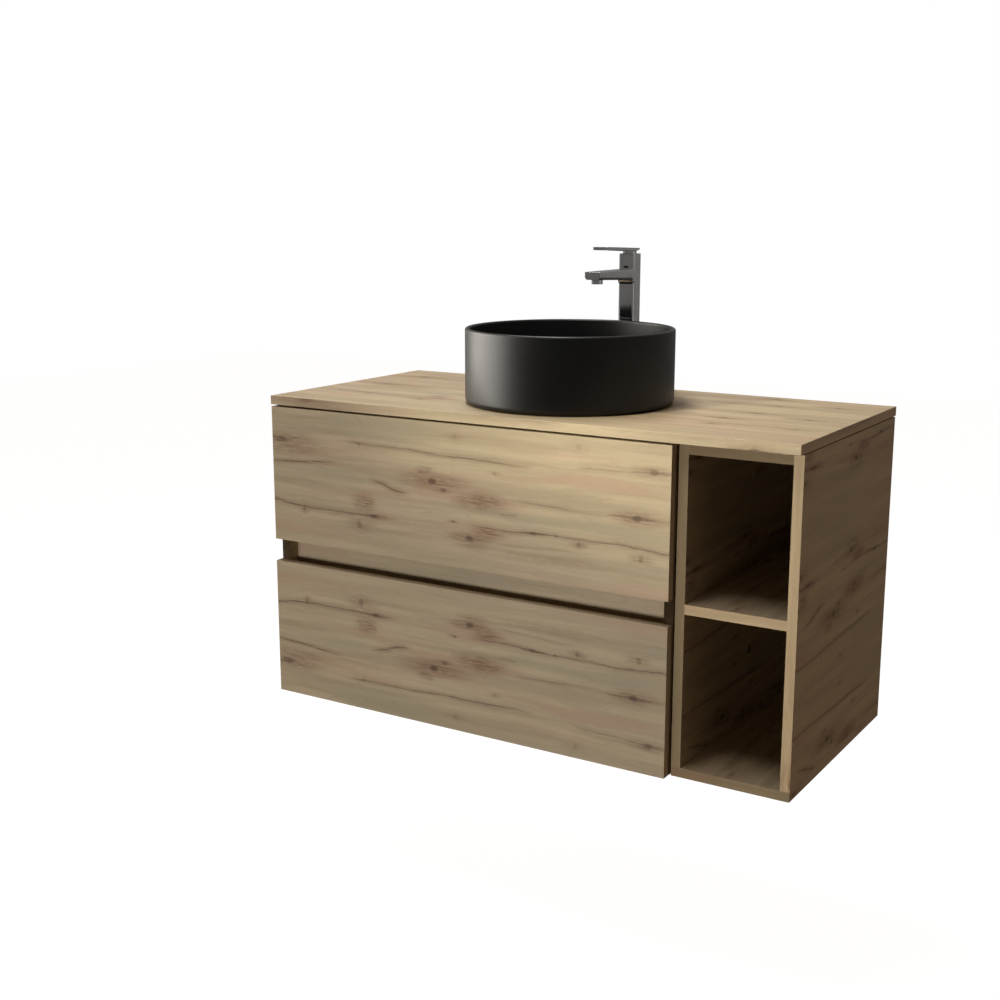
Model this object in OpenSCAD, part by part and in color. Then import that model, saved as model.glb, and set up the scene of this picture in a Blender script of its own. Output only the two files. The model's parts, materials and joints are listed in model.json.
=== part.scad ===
// Wall-hung vanity: a two-drawer cabinet and an open shelf unit under one worktop,
// with a round vessel basin, its waste and bottle trap, and a tall single-lever mixer.
// Millimetres. X to the right, Y towards the wall, Z up. The origin is under the middle
// of the worktop, level with the cabinet's underside. The drawers open towards -Y.

/* [Worktop] */
// Width of the worktop
top_w = 1000; // [900:10:1200]
// Depth of the worktop, which is also the depth of the whole vanity
top_d = 460; // [450:5:500]
// Thickness of the worktop
top_t = 16; // [12:1:25]
// Shadow gap between the cabinets and the worktop
top_gap = 2; // [1:0.5:4]

/* [Cabinets] */
// Height of both cabinets
cab_h = 540; // [520:5:600]
// Thickness of every board
board = 16; // [15:1:18]
// How far the worktop stands out past the cabinets at each end
overhang = 1; // [0:0.5:4]
// Outer width of the open shelf unit
open_w = 199; // [150:1:300]
// Gap between the two cabinets
unit_gap = 3; // [2:0.5:5]
// Height of the shelf's underside
shelf_z = 271; // [200:1:330]
// Thickness of the open unit's back
back_t = 3; // [3:0.5:6]

/* [Drawers] */
// Height of the lower drawer front
lower_h = 251.5; // [240:0.5:270]
// Height of the finger gap between the two drawer fronts
grip_gap = 41; // [30:1:50]
// Gap above the upper drawer front
front_top_gap = 3.5; // [2:0.5:6]
// Clearance between a closed drawer front and the cabinet
front_gap = 2.5; // [1:0.5:4]
// How far the grip rail stands back from the cabinet's front edges
grip_set_back = 24; // [18:1:32]
// Travel of each drawer
drawer_travel = 380; // [300:10:390]

/* [Basin] */
// Outer radius of the basin
basin_r = 181.5; // [170:0.5:200]
// Height of the basin
basin_h = 130; // [110:1:150]
// Wall thickness at the rim
basin_wall = 8; // [6:0.5:12]
// Radius between the basin's inner wall and its floor
cove = 20; // [10:1:30]
// Basin centre, measured from the worktop's middle along Y
basin_y = -20; // [-30:1:-10]

/* [Mixer] */
// Mixer centre, measured from the worktop's middle along Y
mixer_y = 204; // [200:1:206]
// Width and depth of the mixer's column
column_w = 32; // [32:1:36]
// Height of the column above the worktop
column_h = 249; // [230:1:300]
// Height of the spout's upper face above the worktop
spout_h = 221; // [200:1:235]
// Reach of the spout from the column's axis to its tip
spout_reach = 145; // [120:1:160]
// Length of the lever
lever_len = 126; // [90:1:140]

/* [Hidden] */
$fn = 96;

// Colours
oak = "burlywood";
drawer_grey = "gainsboro";
zinc = "silver";
chrome = "lightgray";
matt_black = "#1c1c1c";
plastic_white = "white";
rubber_black = "#202020";

// Worktop and cabinet planes
y_front = -top_d / 2;                       // faces of the drawer fronts and the worktop
y_back = top_d / 2;                         // the wall
y_cab = y_front + board + front_gap;        // front edges of the cabinets
top_z0 = cab_h + top_gap;                   // underside of the worktop
top_z1 = top_z0 + top_t;                    // upper face of the worktop
cab_x0 = -top_w / 2 + overhang;             // left outer face of the drawer cabinet
open_x1 = top_w / 2 - overhang;             // right outer face of the open unit
open_x0 = open_x1 - open_w;
cab_x1 = open_x0 - unit_gap;                // right outer face of the drawer cabinet
in_x0 = cab_x0 + board;                     // inner faces of the drawer cabinet
in_x1 = cab_x1 - board;
cab_mid = (cab_x0 + cab_x1) / 2;
bay_x0 = open_x0 + board;                   // inner faces of the open unit
bay_x1 = open_x1 - board;

// Rails
rail_d = 80;                                // depth of the front top rail
back_rail_z = [430, 490];                   // the back rail passes between the trap and the hangers
grip_rail_y = y_cab + grip_set_back;
grip_rail_z = [234, 308];

// Drawer fronts
front_x0 = cab_x0 + 0.5;
front_x1 = cab_x1 - 0.5;
lower_z = [0, lower_h];
upper_z = [lower_h + grip_gap, cab_h + top_gap - front_top_gap];

// Drawer boxes
box_t = 12;                                 // thickness of the box boards
floor_t = 6;                                // thickness of the box floors
runner_space = 13;                          // width of one runner
box_x0 = in_x0 + runner_space;
box_x1 = in_x1 - runner_space;
box_y0 = y_front + board;
box_len = 400;
box_y1 = box_y0 + box_len;
box_h = 156;
upper_box_z = 322;
lower_box_z = 24;
floor_up = 12;                              // height of a box floor above the box's lower edge
groove = 5;                                 // depth of the grooves that hold the floor
slack = 0.1;                                // clearance around the floor and the screws

// Cut-out around the trap
cut_x = 72;                                 // half width
cut_y = basin_y - 75;                       // its front end
guard_t = 3;

// Runners
runner_len = 400;
runner_y0 = y_cab + 2;
runner_half = 22.5;                         // half heights of the three members
middle_half = 19.3;
inner_half = 16;
sheet = 1.2;                                // steel thickness
upper_runner_z = upper_box_z + 60;
lower_runner_z = lower_box_z + 60;

// Fasteners
dowel_r = 4;
dowel_len = 30;
dowel_side = 8;                             // how much of a dowel sits in the side panel
dowel_play = 0.05;                          // between a dowel and its hole
dowel_end = 0.5;                            // free depth at each end of a dowel's hole
panel_dowel_ys = [y_cab + 50, y_back - 60];
rail_dowel_ys = [y_cab + 16, y_cab + 64];
rail_dowel_in = 15;                         // from an upright rail's edge to its dowel
open_dowel_ys = [y_cab + 60, y_back - 60];
screw_r = 2;
screw_head_r = 4;
screw_head_t = 2.4;

// Hangers
plate_t = 1.5;
hanger_w = 20;

// Waste and trap
drain_r = 23;
drain_play = 2;                             // between the basin's drain and the worktop's hole
waste_r = 20.9;
waste_bore = 17.5;
flange_r = 32;                              // flange of the waste, and its washer
flange_t = 3;
stem_r = 4;                                 // stem of the plug
guide_z = [540, 548];                       // guide of the stem
tube_r = 16;
tube_in = 14.4;
floor_z = top_z1 + 15;                      // inner floor of the basin beside the drain
waste_z = 489;                              // lower end of the waste's tail
trap_z = 400;                               // height of the trap's outlet
cup_z = 304;                                // lowest point of the trap
trap_r = 31;
trap_in = 28;
branch_r = 21;                              // the trap's neck and its branch
ring_nut_h = 16;
tube_play = 0.2;
socket_len = 60;                            // how far the wall socket covers the outlet tube

// Mixer
seal_t = 1.5;
mix_z0 = top_z1 + seal_t;
mix_z1 = top_z1 + column_h;
spout_top = top_z1 + spout_h;
column_edge = 6;                            // radius of the column's upright edges
spout_w = 32;
spout_y0 = mixer_y - spout_reach;
aerator_y = spout_y0 + 18;
bore_r = 14.5;                              // cartridge chamber
pivot_z = mix_z1 - 10;                      // tilt axis of the lever
seat_z = mix_z1 - 50;                       // floor of the cartridge chamber
lever_w = 30;
lever_y1 = mixer_y + 10;
lever_y0 = lever_y1 - lever_len;
lever_gap = 4;                              // between the column and the lever
neck_r = 13.2;                              // front half of the lever's neck
neck_rear_r = 12;
pin_r = 1.5;                                // the pin that the lever tilts on
cartridge_h = 26;
carrier_r = 10;
cheek = [3, 8, 14];                         // one of the carrier's two cheeks
cheek_x = 3.4;                              // inner face of a cheek
stem_w = 6;                                 // the lever's square stem
aerator_r = 10;
foot_r = 22.5;                              // flange at the column's foot
foot_t = 4.5;
inlet_x = 8;                                // hose inlets, either side of the middle
inlet_y = mixer_y + 3;
inlet_r = 5;
inlet_depth = 15;
stud_y = mixer_y - 10;
stud_r = 4;
stud_below = 34;                            // length of the stud below the worktop
plug_w = 10;                                // index plug
plug_h = 4;
plug_depth = 1.2;                           // how deep the index plug sits in the column
tap_hole_r = 17;

// ---------- helpers ----------

// Points on an arc, both ends included
function arc(cx, cy, r, a0, a1, n) = [for (i = [0:n]) [cx + r * cos(a0 + (a1 - a0) * i / n),
                                                     cy + r * sin(a0 + (a1 - a0) * i / n)]];

// Outline of a rectangle with round corners, centred on the origin
function round_rect(w, d, r, n = 6) = concat(
    arc(w / 2 - r, d / 2 - r, r, 0, 90, n), arc(-w / 2 + r, d / 2 - r, r, 90, 180, n),
    arc(-w / 2 + r, -d / 2 + r, r, 180, 270, n), arc(w / 2 - r, -d / 2 + r, r, 270, 360, n));

// A board from its limits along each axis
module block(x, y, z) {
    translate([x[0], y[0], z[0]]) cube([x[1] - x[0], y[1] - y[0], z[1] - z[0]]);
}

module ring(r_out, r_in, z0, z1) {
    translate([0, 0, z0]) difference() {
        cylinder(r = r_out, h = z1 - z0);
        translate([0, 0, -1]) cylinder(r = r_in, h = z1 - z0 + 2);
    }
}

// A YZ outline drawn out along X, from x0 to x1
module along_x(x0, x1, points) {
    translate([x0, 0, 0]) rotate([90, 0, 90]) linear_extrude(x1 - x0) polygon(points);
}

// ---------- dowels ----------

// Dowels lie along X between a side panel and a board: [inner face, +1 or -1 into the board, y, z]
function row_of_dowels(face, into, ys, z) = [for (y = ys) [face, into, y, z]];
cab_dowels = concat(
    row_of_dowels(in_x0, 1, panel_dowel_ys, board / 2),
    row_of_dowels(in_x1, -1, panel_dowel_ys, board / 2),
    row_of_dowels(in_x0, 1, rail_dowel_ys, cab_h - board / 2),
    row_of_dowels(in_x1, -1, rail_dowel_ys, cab_h - board / 2));
rail_dowels = [for (face = [[in_x0, 1], [in_x1, -1]])
    for (rail = [[y_back - board / 2, back_rail_z], [grip_rail_y + board / 2, grip_rail_z]])
    for (z = [rail[1][0] + rail_dowel_in, rail[1][1] - rail_dowel_in])
        [face[0], face[1], rail[0], z]];
open_dowels = [for (face = [[bay_x0, 1], [bay_x1, -1]])
    for (z = [cab_h - board / 2, shelf_z + board / 2])
    for (y = open_dowel_ys) [face[0], face[1], y, z]];
// Upright dowels between the open unit's bottom and its two sides: [x, y]
foot_dowels = [for (x = [open_x0 + board / 2, open_x1 - board / 2]) for (y = open_dowel_ys) [x, y]];

module dowel_along_x(d, r, extra) {
    x0 = d[0] - d[1] * (dowel_side + extra);
    x1 = d[0] + d[1] * (dowel_len - dowel_side + extra);
    translate([min(x0, x1), d[2], d[3]]) rotate([0, 90, 0]) cylinder(r = r, h = abs(x1 - x0), $fn = 24);
}
module foot_dowel(d, r, extra) {
    translate([d[0], d[1], board - dowel_side - extra])
        cylinder(r = r, h = dowel_len + 2 * extra, $fn = 24);
}
// Blind holes for the dowels of a list
module dowel_holes(list) { for (d = list) dowel_along_x(d, dowel_r, dowel_end); }
module foot_dowel_holes() { for (d = foot_dowels) foot_dowel(d, dowel_r, dowel_end); }

module dowels() {
    color("tan") {
        for (d = concat(cab_dowels, rail_dowels, open_dowels))
            dowel_along_x(d, dowel_r - dowel_play, 0);
        for (d = foot_dowels) foot_dowel(d, dowel_r - dowel_play, 0);
    }
}

// ---------- connectors between the two cabinets ----------

connector_at = [for (y = [60, 190]) for (z = [140, 450]) [y, z]];
connector_r = 3;
connector_head_r = 7;
connector_head_t = 1.6;
spacer_r = 9;
module connector_holes() {
    for (c = connector_at) translate([in_x1 - 1, c[0], c[1]]) rotate([0, 90, 0])
        cylinder(r = connector_r + 0.1, h = bay_x0 - in_x1 + 2, $fn = 32);
}
module unit_connectors() {
    grip = bay_x0 - in_x1;                  // through both side boards and the gap
    color(zinc) for (c = connector_at) translate([0, c[0], c[1]]) {
        translate([in_x1 - connector_head_t, 0, 0]) rotate([0, 90, 0]) {
            cylinder(r = connector_r, h = grip + 2 * connector_head_t, $fn = 32);
            for (x = [0, grip + connector_head_t]) translate([0, 0, x])
                cylinder(r = connector_head_r, h = connector_head_t, $fn = 32);
        }
        // spacer washer that sets the gap
        translate([cab_x1, 0, 0]) rotate([0, 90, 0]) ring(spacer_r, connector_r + 0.2, 0, unit_gap);
    }
}

// ---------- drawer cabinet ----------

module side_panel(x0) {
    difference() {
        block([x0, x0 + board], [y_cab, y_back], [0, cab_h]);
        dowel_holes(cab_dowels);
        dowel_holes(rail_dowels);
        connector_holes();
    }
}
module side_panel_left() { color(oak) side_panel(cab_x0); }
module side_panel_right() { color(oak) side_panel(in_x1); }
module bottom_panel() {
    color(oak) difference() {
        block([in_x0, in_x1], [y_cab, y_back], [0, board]);
        dowel_holes(cab_dowels);
    }
}
module top_rail_front() {
    color(oak) difference() {
        block([in_x0, in_x1], [y_cab, y_cab + rail_d], [cab_h - board, cab_h]);
        dowel_holes(cab_dowels);
    }
}
module top_rail_back() {
    color(oak) difference() {
        block([in_x0, in_x1], [y_back - board, y_back], back_rail_z);
        dowel_holes(rail_dowels);
    }
}
module grip_rail() {
    color(oak) difference() {
        block([in_x0, in_x1], [grip_rail_y, grip_rail_y + board], grip_rail_z);
        dowel_holes(rail_dowels);
    }
}

// ---------- open unit: its sides stand on its bottom, and its back closes it flush ----------

module open_side(x0) {
    difference() {
        block([x0, x0 + board], [y_cab, y_back - back_t], [board, cab_h]);
        dowel_holes(open_dowels);
        foot_dowel_holes();
        connector_holes();
    }
}
module open_side_left() { color(oak) open_side(open_x0); }
module open_side_right() { color(oak) open_side(bay_x1); }
module open_top() {
    color(oak) difference() {
        block([bay_x0, bay_x1], [y_cab, y_back - back_t], [cab_h - board, cab_h]);
        dowel_holes(open_dowels);
    }
}
module open_bottom() {
    color(oak) difference() {
        block([open_x0, open_x1], [y_cab, y_back - back_t], [0, board]);
        foot_dowel_holes();
    }
}
module open_shelf() {
    color(oak) difference() {
        block([bay_x0, bay_x1], [y_cab, y_back - back_t], [shelf_z, shelf_z + board]);
        dowel_holes(open_dowels);
    }
}
module open_back() { color(oak) block([open_x0, open_x1], [y_back - back_t, y_back], [0, cab_h]); }

// ---------- worktop ----------

module countertop() {
    color(oak) difference() {
        block([-top_w / 2, top_w / 2], [y_front, y_back], [top_z0, top_z1]);
        translate([0, basin_y, top_z0 - 1]) cylinder(r = drain_r + drain_play, h = top_t + 2);
        translate([0, mixer_y, top_z0 - 1]) cylinder(r = tap_hole_r, h = top_t + 2);
    }
}
module countertop_pads() {
    pad_r = 7;
    pad_in = 30;                            // from the cabinets' front and back edges
    color("dimgray")
        for (x = [cab_x0 + board / 2, cab_x1 - board / 2, open_x0 + board / 2, open_x1 - board / 2])
            for (y = [y_cab + pad_in, 0, y_back - pad_in])
                translate([x, y, cab_h]) cylinder(r = pad_r, h = top_gap, $fn = 32);
}

// ---------- drawers ----------

screw_bite = 10;                            // depth of a screw in the drawer front
screw_in = 70;                              // from the cabinet's inner faces to the outer screws
// X, and height above the box's lower edge
front_screw_at = [for (x = [in_x0 + screw_in, in_x1 - screw_in, cab_mid]) for (z = [40, 116]) [x, z]];

// Holes for the screws that hold a front to its box, from inside the box
module front_screw_holes(box_z, r) {
    for (s = front_screw_at) translate([s[0], box_y0 - screw_bite - 1, box_z + s[1]])
        rotate([-90, 0, 0]) cylinder(r = r, h = screw_bite + box_t + 2, $fn = 24);
}
module front_screws(box_z) {
    color(zinc) for (s = front_screw_at) translate([s[0], box_y0 - screw_bite, box_z + s[1]])
        rotate([-90, 0, 0]) {
            cylinder(r = screw_r, h = screw_bite + box_t + 1, $fn = 24);
            translate([0, 0, screw_bite + box_t]) cylinder(r = screw_head_r, h = screw_head_t, $fn = 24);
        }
}
module drawer_front(z, box_z) {
    color(oak) difference() {
        block([front_x0, front_x1], [y_front, y_front + board], z);
        front_screw_holes(box_z, screw_r + 0.05);
    }
}
// Side of a drawer box; inward is +1 when the box lies towards +X
module box_side(x0, inward, box_z) {
    gx = inward > 0 ? [x0 + box_t - groove - slack, x0 + box_t + 1] : [x0 - 1, x0 + groove + slack];
    color(drawer_grey) difference() {
        block([x0, x0 + box_t], [box_y0, box_y1], [box_z, box_z + box_h]);
        block(gx, [box_y0 - 1, box_y1 + 1],
              [box_z + floor_up - slack, box_z + floor_up + floor_t + slack]);
    }
}
module box_subfront(box_z) {
    color(drawer_grey) difference() {
        block([box_x0 + box_t, box_x1 - box_t], [box_y0, box_y0 + box_t], [box_z, box_z + box_h]);
        block([box_x0, box_x1], [box_y0 + box_t - groove - slack, box_y0 + box_t + 1],
              [box_z + floor_up - slack, box_z + floor_up + floor_t + slack]);
        front_screw_holes(box_z, screw_r + slack);
    }
}
module box_floor(box_z) {
    block([box_x0 + box_t - groove, box_x1 - box_t + groove], [box_y0 + box_t - groove, box_y1],
          [box_z + floor_up, box_z + floor_up + floor_t]);
}
// Back board of a box between two X limits; it stands on the floor
module box_back(x, box_z) {
    block(x, [box_y1 - box_t, box_y1], [box_z + floor_up + floor_t, box_z + box_h]);
}

module upper_front() { drawer_front(upper_z, upper_box_z); }
module upper_box_side_left() { box_side(box_x0, 1, upper_box_z); }
module upper_box_side_right() { box_side(box_x1 - box_t, -1, upper_box_z); }
module upper_box_subfront() { box_subfront(upper_box_z); }
module upper_box_backs() {
    color(drawer_grey) {
        box_back([box_x0 + box_t, -cut_x - guard_t], upper_box_z);
        box_back([cut_x + guard_t, box_x1 - box_t], upper_box_z);
    }
}
module upper_box_bottom() {
    color(drawer_grey) difference() {
        box_floor(upper_box_z);
        block([-cut_x, cut_x], [cut_y, box_y1 + 1], [upper_box_z, upper_box_z + 40]);
    }
}
// U-shaped plastic guard that lines the cut-out around the trap
module siphon_guard() {
    z = [upper_box_z + floor_up + floor_t, upper_box_z + box_h];
    color(plastic_white) difference() {
        block([-cut_x - guard_t, cut_x + guard_t], [cut_y - guard_t, box_y1], z);
        block([-cut_x, cut_x], [cut_y, box_y1 + 1], [z[0] - 1, z[1] + 1]);
    }
}
module lower_front() { drawer_front(lower_z, lower_box_z); }
module lower_box_side_left() { box_side(box_x0, 1, lower_box_z); }
module lower_box_side_right() { box_side(box_x1 - box_t, -1, lower_box_z); }
module lower_box_subfront() { box_subfront(lower_box_z); }
module lower_box_back() {
    color(drawer_grey) box_back([box_x0 + box_t, box_x1 - box_t], lower_box_z);
}
module lower_box_bottom() { color(drawer_grey) box_floor(lower_box_z); }
module upper_front_screws() { front_screws(upper_box_z); }
module lower_front_screws() { front_screws(lower_box_z); }

// ---------- runners ----------

// Channel section in U (0 at the cabinet, runner_space at the drawer) and V (height)
module channel(u0, u1, half, web_at) {
    web = web_at > 0 ? [u1 - sheet, u1] : [u0, u0 + sheet];
    translate([web[0], -half]) square([sheet, 2 * half]);
    for (v = [-half, half - sheet]) translate([u0, v]) square([u1 - u0, sheet]);
}
// One member at both sides of a drawer, at height z
module runner_pair(z, u0, u1, half, web_at) {
    for (side = [[in_x0, 1], [in_x1, -1]]) translate([side[0], runner_y0 + runner_len, z])
        scale_x(side[1]) rotate([90, 0, 0]) linear_extrude(runner_len) channel(u0, u1, half, web_at);
}
// Mirrors its children when s is -1
module scale_x(s) {
    if (s < 0) mirror([1, 0, 0]) children();
    else children();
}
// Strips that hold the balls between the members
module ball_cages(z) {
    cage = [2.6, 120, 1.6];
    cage_in = 40;                           // from the runner's ends
    cage_u = 5.6;
    for (side = [[in_x0, 1], [in_x1, -1]]) for (y = [cage_in, runner_len - cage_in - cage[1]])
        for (v = [-middle_half - 1.8, middle_half + 0.2])
            translate([side[0], runner_y0 + y, z + v]) scale_x(side[1]) translate([cage_u, 0, 0]) cube(cage);
}
module runner_outer_members() {
    color(zinc) for (z = [upper_runner_z, lower_runner_z]) runner_pair(z, 0, 9, runner_half, -1);
}
module runner_middle(z) {
    color(zinc) {
        runner_pair(z, 4.2, 10.4, middle_half, -1);
        ball_cages(z);
    }
}
module runner_inner(z) { color(zinc) runner_pair(z, 6.8, runner_space, inner_half, 1); }
module upper_runner_middle() { runner_middle(upper_runner_z); }
module lower_runner_middle() { runner_middle(lower_runner_z); }
module upper_runner_inner() { runner_inner(upper_runner_z); }
module lower_runner_inner() { runner_inner(lower_runner_z); }

// ---------- hangers ----------

plate_x = [3, 68];                          // wall plate, measured from the side panel
plate_hole_at = [28, 58];
plate_z = [498, 516];
plate_hole_z = 507;
plate_hole_r = 3.25;
lip_top = 530;
lip_y = [y_back - 8, y_back - 6.5];         // the plate's lip, which the hook hangs on
hanger_y = [y_back - 54, y_back - 9];
hanger_z = [494, 537];
hook_x = [4.2, 15.8];
hook_y0 = y_back - 39;
hook_tip = [y_back - 5.5, y_back - 2.5];    // the part of the hook that points down
hook_z = [531, 534];
hook_low = 518.2;
adjust_r = 3;                               // adjusting screw holes
module at_hangers() {
    for (side = [[in_x0, 1], [in_x1, -1]]) translate([side[0], 0, 0]) scale_x(side[1]) children();
}
module hanger_bodies() {
    color(plastic_white) at_hangers() difference() {
        block([0, hanger_w], hanger_y, hanger_z);
        // slot for the hook
        block([hook_x[0] - 0.2, hook_x[1] + 0.2], [hook_y0 - 1, hook_tip[0] + 0.5],
              [hook_z[0] - 0.2, hook_z[1] + 0.2]);
        for (z = [505, 520]) translate([hanger_w / 2, hanger_y[0] - 1, z]) rotate([-90, 0, 0])
            cylinder(r = adjust_r, h = 12, $fn = 32);
    }
}
module hanger_hooks() {
    color(zinc) at_hangers() along_x(hook_x[0], hook_x[1], [
        [hook_y0, hook_z[0]], [hook_tip[0], hook_z[0]], [hook_tip[0], hook_low],
        [hook_tip[1], hook_low], [hook_tip[1], hook_z[1]], [hook_y0, hook_z[1]]]);
}
module wall_plates() {
    color(zinc) at_hangers() difference() {
        along_x(plate_x[0], plate_x[1], [
            [y_back, plate_z[0]], [y_back, plate_z[1] + 2], [lip_y[1], plate_z[1] + 2],
            [lip_y[1], lip_top], [lip_y[0], lip_top], [lip_y[0], plate_z[1]],
            [y_back - plate_t, plate_z[1]], [y_back - plate_t, plate_z[0]]]);
        for (x = plate_hole_at) translate([x, y_back - 5, plate_hole_z]) rotate([-90, 0, 0])
            cylinder(r = plate_hole_r, h = 10, $fn = 48);
    }
}

// ---------- basin ----------

module vessel_basin() {
    foot = 10;                              // radius of the outer lower edge
    rim = 3.5;
    r_in = basin_r - basin_wall;
    z0 = top_z1;
    z1 = top_z1 + basin_h;
    floor_edge = floor_z + 4;
    hollow_r = 158;                         // shallow hollow under the basin
    hollow = 3;
    profile = concat(
        [[hollow_r, z0 + hollow], [hollow_r, z0]],
        arc(basin_r - foot, z0 + foot, foot, -90, 0, 8),
        arc(basin_r - rim, z1 - rim, rim, 0, 90, 6),
        arc(r_in + rim, z1 - rim, rim, 90, 180, 6),
        arc(r_in - cove, floor_edge + cove, cove, 0, -90, 10),
        [[flange_r + 4, floor_z], [flange_r + 2, floor_z - flange_t],
         [drain_r, floor_z - flange_t], [drain_r, z0 + hollow]]);
    color(matt_black) translate([0, basin_y, 0]) rotate_extrude($fn = 180) polygon(profile);
}
module waste_body() {
    z_flange = floor_z - flange_t;
    guide_h = guide_z[1] - guide_z[0];
    bar = [2 * waste_bore + 0.6, 6, guide_h];
    color(chrome) translate([0, basin_y, 0]) {
        ring(flange_r, waste_bore, z_flange, floor_z);
        ring(waste_r, waste_bore, waste_z, z_flange);
        // cross bar with a boss that guides the plug's stem
        difference() {
            union() {
                translate([-bar[0] / 2, -bar[1] / 2, guide_z[0]]) cube(bar);
                translate([0, 0, guide_z[0]]) cylinder(r = 7, h = guide_h, $fn = 48);
            }
            translate([0, 0, guide_z[0] - 1]) cylinder(r = stem_r + 0.06, h = guide_h + 2, $fn = 48);
        }
    }
}
module waste_locknut() {
    color(chrome) translate([0, basin_y, top_z0 - 14]) difference() {
        cylinder(r = 29, h = 10, $fn = 6);
        translate([0, 0, -1]) cylinder(r = waste_r + 0.1, h = 12);
    }
}
// Push-to-open plug: a low dome on a stem
module waste_plug() {
    dome_r = 31.5;
    z = floor_z + 0.5;
    stem_z = guide_z[0] - 12;
    color(chrome) translate([0, basin_y, 0]) {
        rotate_extrude() polygon(concat([[0, z], [dome_r - 1, z]], arc(dome_r - 2, z + 2.5, 2, 0, 60, 4),
                                        [[16, z + 6], [0, z + 6.6]]));
        translate([0, 0, stem_z]) cylinder(r = stem_r, h = z - stem_z + 0.5, $fn = 48);
    }
}

// ---------- trap ----------

module trap_inlet_tube() {
    color(plastic_white) translate([0, basin_y, 0]) union() {
        ring(tube_r, tube_in, 362, waste_z - 0.5);
        ring(20, tube_in, waste_z - 3.5, waste_z - 0.5);
    }
}
// A ring nut with grip ribs, along +Z from z = 0
module ring_nut(r, h) {
    cylinder(r = r, h = h);
    for (a = [0:30:330]) rotate(a) translate([r, 0, 0]) cylinder(r = 1.6, h = h, $fn = 24);
}
module branch_nut() {
    difference() {
        ring_nut(25, ring_nut_h);
        translate([0, 0, -1]) cylinder(r = branch_r + 0.2, h = ring_nut_h - 3);
        cylinder(r = tube_r + tube_play, h = ring_nut_h + 4);
    }
}
module trap_nuts() {
    color(plastic_white) {
        // joins the waste's tail and the inlet tube
        translate([0, basin_y, waste_z - 10]) difference() {
            ring_nut(26, 30);
            translate([0, 0, 6.4]) cylinder(r = waste_r + 0.1, h = 30);
            translate([0, 0, -1]) cylinder(r = tube_r + tube_play, h = 10);
        }
        // clamps the inlet tube in the trap's neck
        translate([0, basin_y, 434]) branch_nut();
        // clamps the outlet tube in the trap's branch
        translate([0, basin_y + 48, trap_z]) rotate([-90, 0, 0]) branch_nut();
    }
}
module trap_body() {
    color(plastic_white) translate([0, basin_y, 0]) difference() {
        union() {
            translate([0, 0, 352]) cylinder(r = trap_r, h = 80);
            translate([0, 0, 430]) cylinder(r = branch_r, h = 16);
            translate([0, 0, trap_z]) rotate([-90, 0, 0]) cylinder(r = branch_r, h = 60);
        }
        translate([0, 0, 351]) cylinder(r = trap_in, h = 76);
        translate([0, 0, 420]) cylinder(r = tube_r + tube_play, h = 40);
        translate([0, 0, trap_z]) rotate([-90, 0, 0]) cylinder(r = tube_r + tube_play, h = 70);
    }
}
module trap_cup() {
    color(plastic_white) translate([0, basin_y, 0]) rotate_extrude() polygon(concat(
        [[0, cup_z]], arc(24, cup_z + 10, 10, -90, 0, 6),
        [[trap_r + 3, 360], [trap_r + 0.2, 360], [trap_r + 0.2, 351.8], [trap_in, 351.8]],
        arc(20, cup_z + 12, 8, 0, -90, 6), [[0, cup_z + 4]]));
}
// The bead stops the wall socket that is pushed over the tube's end
module trap_outlet_tube() {
    color(plastic_white) translate([0, y_back, trap_z]) rotate([90, 0, 0]) union() {
        ring(tube_r, tube_in, 0, y_back - basin_y - 34);
        ring(tube_r + 2, tube_in, socket_len, socket_len + 4);
    }
}

// ---------- mixer ----------

module spout_outline() {
    tip_low = spout_top - 14;               // underside at the tip
    root_low = spout_top - 19;              // underside at the column
    y_root = mixer_y - column_w / 2;
    tip_r = [3, 4];                         // upper and lower edge of the tip
    root_r = 8;                             // hollow under the spout
    polygon(concat(
        arc(spout_y0 + tip_r[0], spout_top - tip_r[0], tip_r[0], 180, 90, 4),
        [[mixer_y, spout_top], [mixer_y, root_low - root_r]],
        arc(y_root - root_r, root_low - root_r, root_r, 0, 90, 6),
        arc(spout_y0 + tip_r[1], tip_low + tip_r[1], tip_r[1], 270, 180, 4)));
}
module faucet_body() {
    color(chrome) difference() {
        union() {
            translate([0, mixer_y, mix_z0]) linear_extrude(mix_z1 - mix_z0)
                polygon(round_rect(column_w, column_w, column_edge));
            translate([0, mixer_y, mix_z0]) cylinder(r = foot_r, h = foot_t);
            translate([-spout_w / 2, 0, 0]) rotate([90, 0, 90]) linear_extrude(spout_w) spout_outline();
        }
        // cartridge chamber, open at the top
        translate([0, mixer_y, seat_z]) cylinder(r = bore_r, h = 60);
        // socket of the aerator
        translate([0, aerator_y, spout_top - 30]) cylinder(r = aerator_r + 0.1, h = 22);
        // hose inlets and the stud's hole
        for (x = [-inlet_x, inlet_x]) translate([x, inlet_y, mix_z0 - 1])
            cylinder(r = inlet_r, h = inlet_depth + 1, $fn = 48);
        translate([0, stud_y, mix_z0 - 1]) cylinder(r = stud_r + 0.05, h = 21, $fn = 48);
        index_shape(plug_w + 0.1, plug_h + 0.1, 1);
    }
}
// Flat pill across the column's front, just above the spout
module index_shape(w, h, proud) {
    translate([0, mixer_y - column_w / 2 + plug_depth, spout_top + 4]) rotate([90, 0, 0])
        linear_extrude(plug_depth + proud) {
            square([w - h, h], center = true);
            for (x = [-1, 1]) translate([x * (w - h) / 2, 0]) circle(r = h / 2, $fn = 32);
        }
}
module index_plug() { color("dimgray") index_shape(plug_w, plug_h, 0.4); }
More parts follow.
